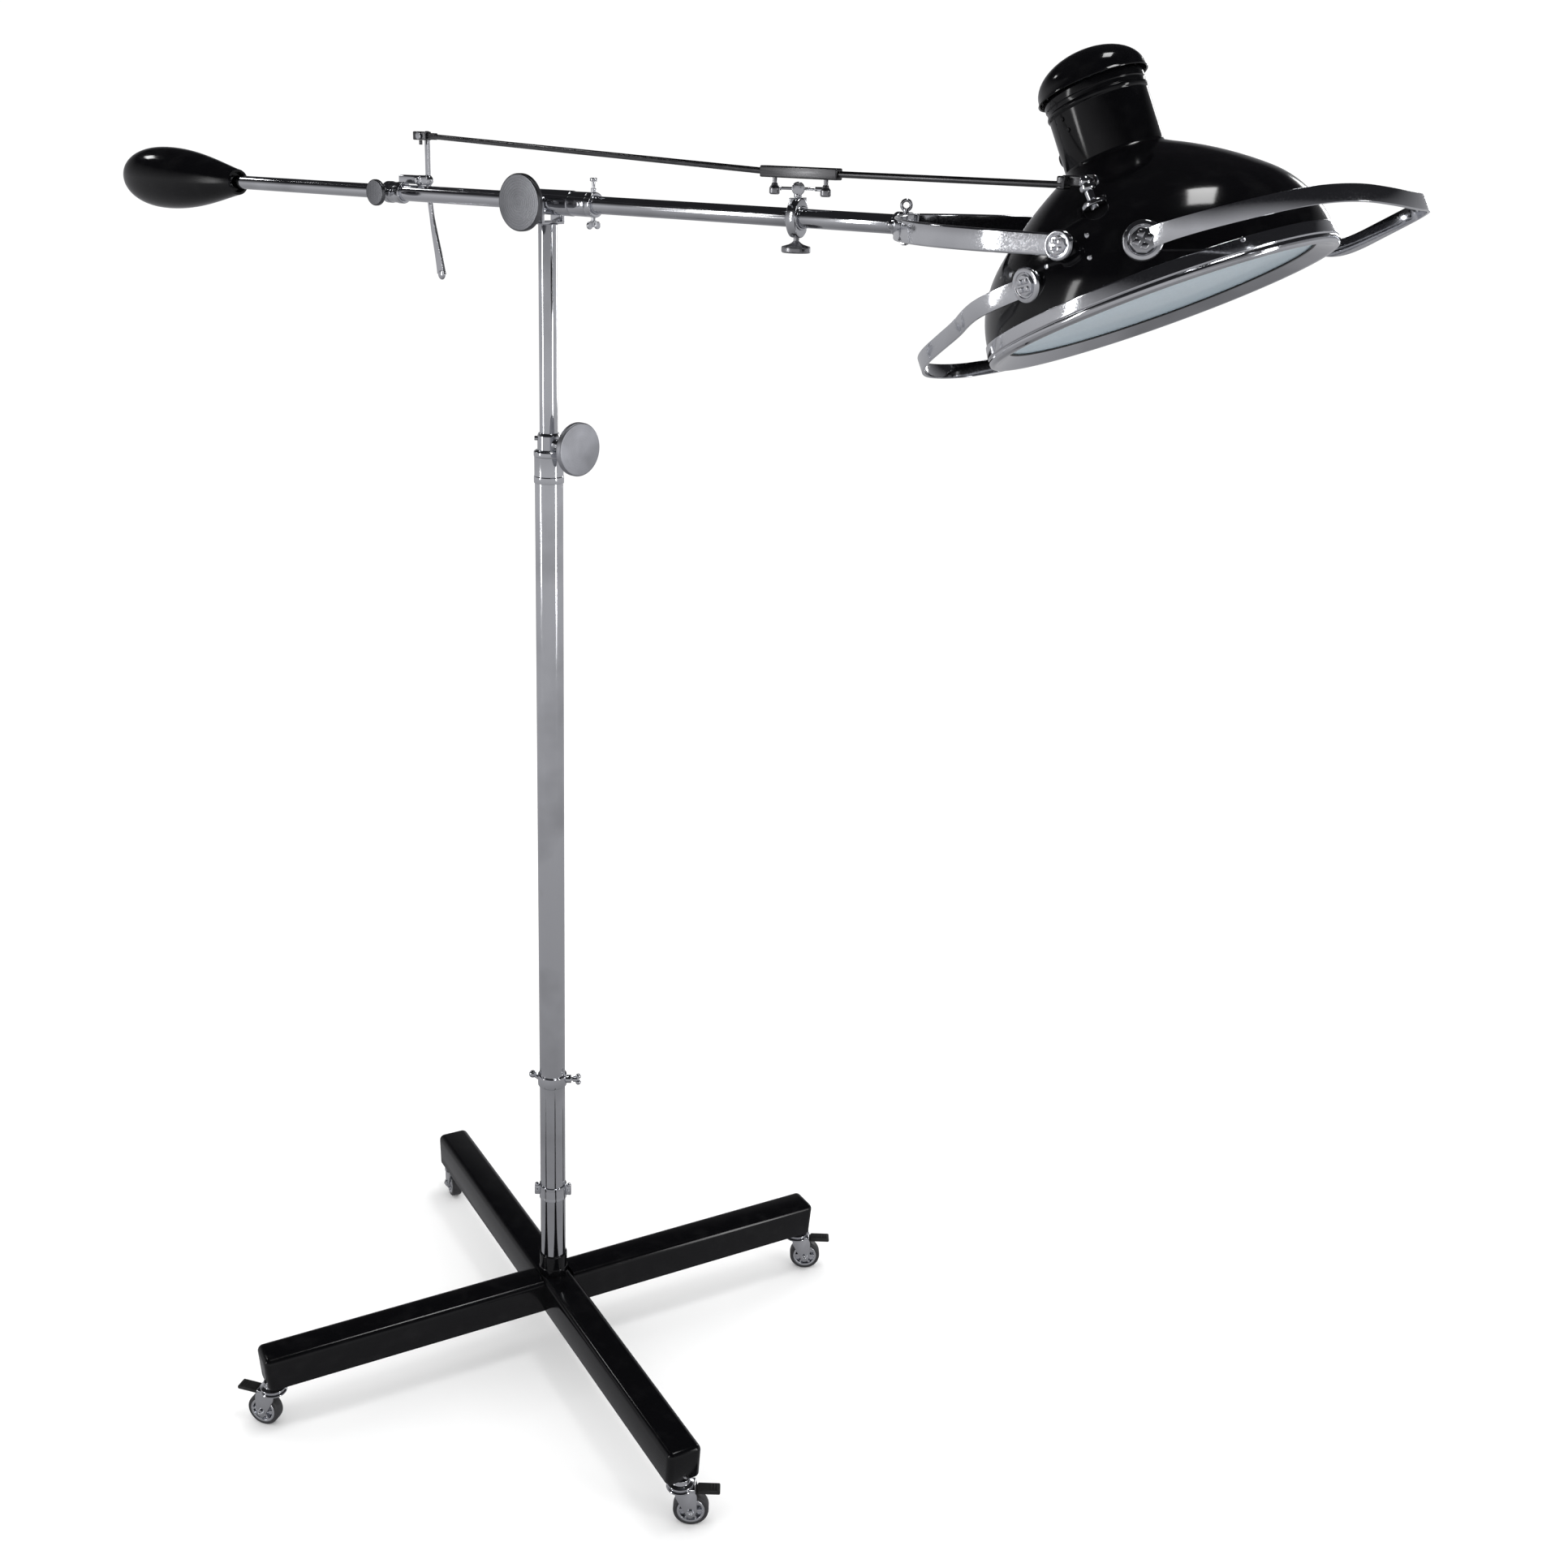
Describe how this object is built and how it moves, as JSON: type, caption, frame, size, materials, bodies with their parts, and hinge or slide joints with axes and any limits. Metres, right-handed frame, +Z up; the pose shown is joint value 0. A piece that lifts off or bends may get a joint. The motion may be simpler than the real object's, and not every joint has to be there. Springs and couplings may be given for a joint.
{
  "type": "floor lamp",
  "caption": "Counterbalanced boom examination lamp on a castered cross base, with a tilting metal shade, grab handles and a tilt lever.",
  "frame": {"origin": "on the floor, under the axis of the mast", "axes": "+Z up along the mast, +X along the boom towards the shade"},
  "size_m": [2.0737, 0.922, 2.0155],
  "materials": {
    "base_enamel": "gloss black enamel",
    "socket_black": "satin black enamel",
    "caster_metal": "plated steel",
    "wheel_rubber": "grey tread on a plated wheel",
    "brake_black": "black",
    "tube_chrome": "polished chrome",
    "fitting_chrome": "worn chrome",
    "knob_steel": "turned steel",
    "small_steel": "bright steel",
    "lever_chrome": "polished",
    "link_steel": "darkened steel",
    "yoke_chrome": "polished strip",
    "weight_black": "gloss black enamel",
    "ballast_iron": "rough",
    "shade_black": "gloss black enamel",
    "rim_chrome": "polished ring",
    "lens": "frosted glass",
    "bulb_glass": "frosted",
    "holder_brass": "brass lamp holder",
    "gland_rubber": "black rubber"
  },
  "bodies": {
    "base": {"base_beam": "base_enamel", "base_arm_rear": "base_enamel", "base_arm_front": "base_enamel", "mast_socket": "socket_black", "caster_stems": "caster_metal", "mast_outer_tube": "tube_chrome", "mast_collar": "fitting_chrome", "cable_clip_ring": "small_steel", "cord_hook_clamp": "small_steel"},
    "fork_1": {"caster_fork_1": "caster_metal"},
    "wheel_1": {"caster_wheel_1": "wheel_rubber"},
    "brake_1": {"caster_brake_1": "brake_black"},
    "fork_2": {"caster_fork_2": "caster_metal"},
    "wheel_2": {"caster_wheel_2": "wheel_rubber"},
    "brake_2": {"caster_brake_2": "brake_black"},
    "fork_3": {"caster_fork_3": "caster_metal"},
    "wheel_3": {"caster_wheel_3": "wheel_rubber"},
    "brake_3": {"caster_brake_3": "brake_black"},
    "fork_4": {"caster_fork_4": "caster_metal"},
    "wheel_4": {"caster_wheel_4": "wheel_rubber"},
    "brake_4": {"caster_brake_4": "brake_black"},
    "mast_lock": {"mast_lock_knob": "knob_steel"},
    "hook_screw": {"cord_hook_wing": "small_steel"},
    "mast_slider": {"mast_inner_tube": "tube_chrome"},
    "head_fork": {"mast_head_fork": "fitting_chrome"},
    "sleeve": {"pivot_sleeve": "fitting_chrome"},
    "tilt_lock": {"tilt_lock_knob": "knob_steel"},
    "boom": {"boom_tube": "tube_chrome", "rod_collar": "fitting_chrome", "boom_stop_collar": "fitting_chrome", "arm_clamp": "fitting_chrome"},
    "stop_screw": {"stop_collar_wing": "small_steel"},
    "rod_lock": {"rod_lock_knob": "knob_steel"},
    "clamp_knob": {"arm_clamp_knob": "knob_steel"},
    "clamp_eye": {"arm_clamp_eye": "small_steel"},
    "counterweight": {"counterweight_shell": "weight_black", "counterweight_ballast": "ballast_iron", "counterweight_rod": "tube_chrome"},
    "extension": {"extension_tube": "tube_chrome", "yoke_collar": "fitting_chrome", "yoke_prong_near": "yoke_chrome", "yoke_prong_far": "yoke_chrome"},
    "eye_screw": {"yoke_eye_screw": "small_steel"},
    "shade": {"shade_dome": "shade_black", "shade_neck": "shade_black", "vent_cap": "shade_black", "rim_ring": "rim_chrome", "lens_glass": "lens", "handle_front": "yoke_chrome", "handle_rear": "yoke_chrome", "shade_bolts": "small_steel", "link_stud": "small_steel", "lamp_holder": "holder_brass", "bulb": "bulb_glass", "cable_gland": "gland_rubber"},
    "lever": {"control_lever": "lever_chrome"},
    "link_rod": {"link_rear": "link_steel"},
    "link_end": {"link_front": "link_steel"},
    "link_thumb_1": {"link_screw_1": "small_steel"},
    "link_thumb_2": {"link_screw_2": "small_steel"}
  },
  "joints": [
    {"name": "caster_1_swivel", "type": "hinge", "parent": "base", "child": "fork_1", "pos_m": [0.42663, -0.18995, 0.066], "axis": [0, 0, 1], "continuous": true},
    {"name": "caster_1_roll", "type": "hinge", "parent": "fork_1", "child": "wheel_1", "pos_m": [0.4394, -0.18032, 0.026], "axis": [-0.6018, 0.7986, 0], "continuous": true},
    {"name": "caster_1_brake", "type": "hinge", "parent": "fork_1", "child": "brake_1", "pos_m": [0.4394, -0.18032, 0.0575], "axis": [-0.6018, 0.7986, 0], "range_deg": [0, 5]},
    {"name": "caster_2_swivel", "type": "hinge", "parent": "base", "child": "fork_2", "pos_m": [0.18995, 0.42663, 0.066], "axis": [0, 0, 1], "continuous": true},
    {"name": "caster_2_roll", "type": "hinge", "parent": "fork_2", "child": "wheel_2", "pos_m": [0.20272, 0.43626, 0.026], "axis": [-0.6018, 0.7986, 0], "continuous": true},
    {"name": "caster_2_brake", "type": "hinge", "parent": "fork_2", "child": "brake_2", "pos_m": [0.20272, 0.43626, 0.0575], "axis": [-0.6018, 0.7986, 0], "range_deg": [0, 5]},
    {"name": "caster_3_swivel", "type": "hinge", "parent": "base", "child": "fork_3", "pos_m": [-0.42663, 0.18995, 0.066], "axis": [0, 0, 1], "continuous": true},
    {"name": "caster_3_roll", "type": "hinge", "parent": "fork_3", "child": "wheel_3", "pos_m": [-0.44048, 0.19795, 0.026], "axis": [-0.5, -0.866, 0], "continuous": true},
    {"name": "caster_3_brake", "type": "hinge", "parent": "fork_3", "child": "brake_3", "pos_m": [-0.44048, 0.19795, 0.0575], "axis": [-0.5, -0.866, 0], "range_deg": [0, 5]},
    {"name": "caster_4_swivel", "type": "hinge", "parent": "base", "child": "fork_4", "pos_m": [-0.18995, -0.42663, 0.066], "axis": [0, 0, 1], "continuous": true},
    {"name": "caster_4_roll", "type": "hinge", "parent": "fork_4", "child": "wheel_4", "pos_m": [-0.20498, -0.4321, 0.026], "axis": [0.342, -0.9397, 0], "continuous": true},
    {"name": "caster_4_brake", "type": "hinge", "parent": "fork_4", "child": "brake_4", "pos_m": [-0.20498, -0.4321, 0.0575], "axis": [0.342, -0.9397, 0], "range_deg": [0, 5]},
    {"name": "mast_lock_turn", "type": "hinge", "parent": "base", "child": "mast_lock", "pos_m": [0, 0, 1.496], "axis": [0.9945, -0.1045, 0], "continuous": true},
    {"name": "hook_screw_turn", "type": "hinge", "parent": "base", "child": "hook_screw", "pos_m": [0, 0, 0.491], "axis": [0.7986, 0.6018, 0], "continuous": true},
    {"name": "mast_height", "type": "slide", "parent": "base", "child": "mast_slider", "axis": [0, 0, 1], "range_m": [-0.2, 0.2]},
    {"name": "head_swivel", "type": "hinge", "parent": "mast_slider", "child": "head_fork", "pos_m": [0, 0, 1.79], "axis": [0, 0, 1], "continuous": true},
    {"name": "boom_tilt", "type": "hinge", "parent": "head_fork", "child": "sleeve", "pos_m": [0, 0, 1.82], "axis": [0, 1, 0], "range_deg": [-25, 25]},
    {"name": "tilt_lock_turn", "type": "hinge", "parent": "sleeve", "child": "tilt_lock", "pos_m": [0, 0, 1.82], "axis": [0, 1, 0], "continuous": true},
    {"name": "boom_roll", "type": "hinge", "parent": "sleeve", "child": "boom", "pos_m": [0, 0, 1.82], "axis": [1, 0, 0], "range_deg": [-15, 15]},
    {"name": "stop_screw_turn", "type": "hinge", "parent": "boom", "child": "stop_screw", "pos_m": [0.0828, 0, 1.82], "axis": [0, 0, 1], "continuous": true},
    {"name": "rod_lock_turn", "type": "hinge", "parent": "boom", "child": "rod_lock", "pos_m": [-0.296, 0, 1.82], "axis": [0, 1, 0], "continuous": true},
    {"name": "clamp_knob_turn", "type": "hinge", "parent": "boom", "child": "clamp_knob", "pos_m": [0.413, 0, 1.82], "axis": [0, 0, 1], "continuous": true},
    {"name": "clamp_eye_turn", "type": "hinge", "parent": "boom", "child": "clamp_eye", "pos_m": [0.413, 0, 1.82], "axis": [0, 0, 1], "continuous": true},
    {"name": "counterweight_slide", "type": "slide", "parent": "boom", "child": "counterweight", "axis": [1, 0, 0], "range_m": [-0.05, 0.15]},
    {"name": "arm_extend", "type": "slide", "parent": "boom", "child": "extension", "axis": [1, 0, 0], "range_m": [0, 0.06]},
    {"name": "eye_screw_turn", "type": "hinge", "parent": "extension", "child": "eye_screw", "pos_m": [0.568, 0, 1.82], "axis": [0, 0, 1], "continuous": true},
    {"name": "shade_tilt", "type": "hinge", "parent": "extension", "child": "shade", "pos_m": [0.865, 0, 1.82], "axis": [0, 1, 0], "range_deg": [-35, 10]},
    {"name": "lever_swing", "type": "hinge", "parent": "boom", "child": "lever", "pos_m": [-0.25, 0, 1.838], "axis": [0, 1, 0], "range_deg": [-35, 10]},
    {"name": "link_level", "type": "hinge", "parent": "lever", "child": "link_rod", "pos_m": [-0.25, 0, 1.898], "axis": [0, 1, 0], "range_deg": [-10, 35]},
    {"name": "link_extend", "type": "slide", "parent": "link_rod", "child": "link_end", "axis": [1, 0, 0], "range_m": [0, 0.06]},
    {"name": "link_screw_1_turn", "type": "hinge", "parent": "link_rod", "child": "link_thumb_1", "pos_m": [0.4805, -0.14, 1.876], "axis": [0, 0, 1], "continuous": true},
    {"name": "link_screw_2_turn", "type": "hinge", "parent": "link_rod", "child": "link_thumb_2", "pos_m": [0.5505, -0.14, 1.876], "axis": [0, 0, 1], "continuous": true}
  ],
  "couplings": [
    {"joint": "lever_swing", "follows": "shade_tilt", "ratio": 1},
    {"joint": "link_level", "follows": "shade_tilt", "ratio": -1},
    {"joint": "link_extend", "follows": "arm_extend", "ratio": 1}
  ]
}
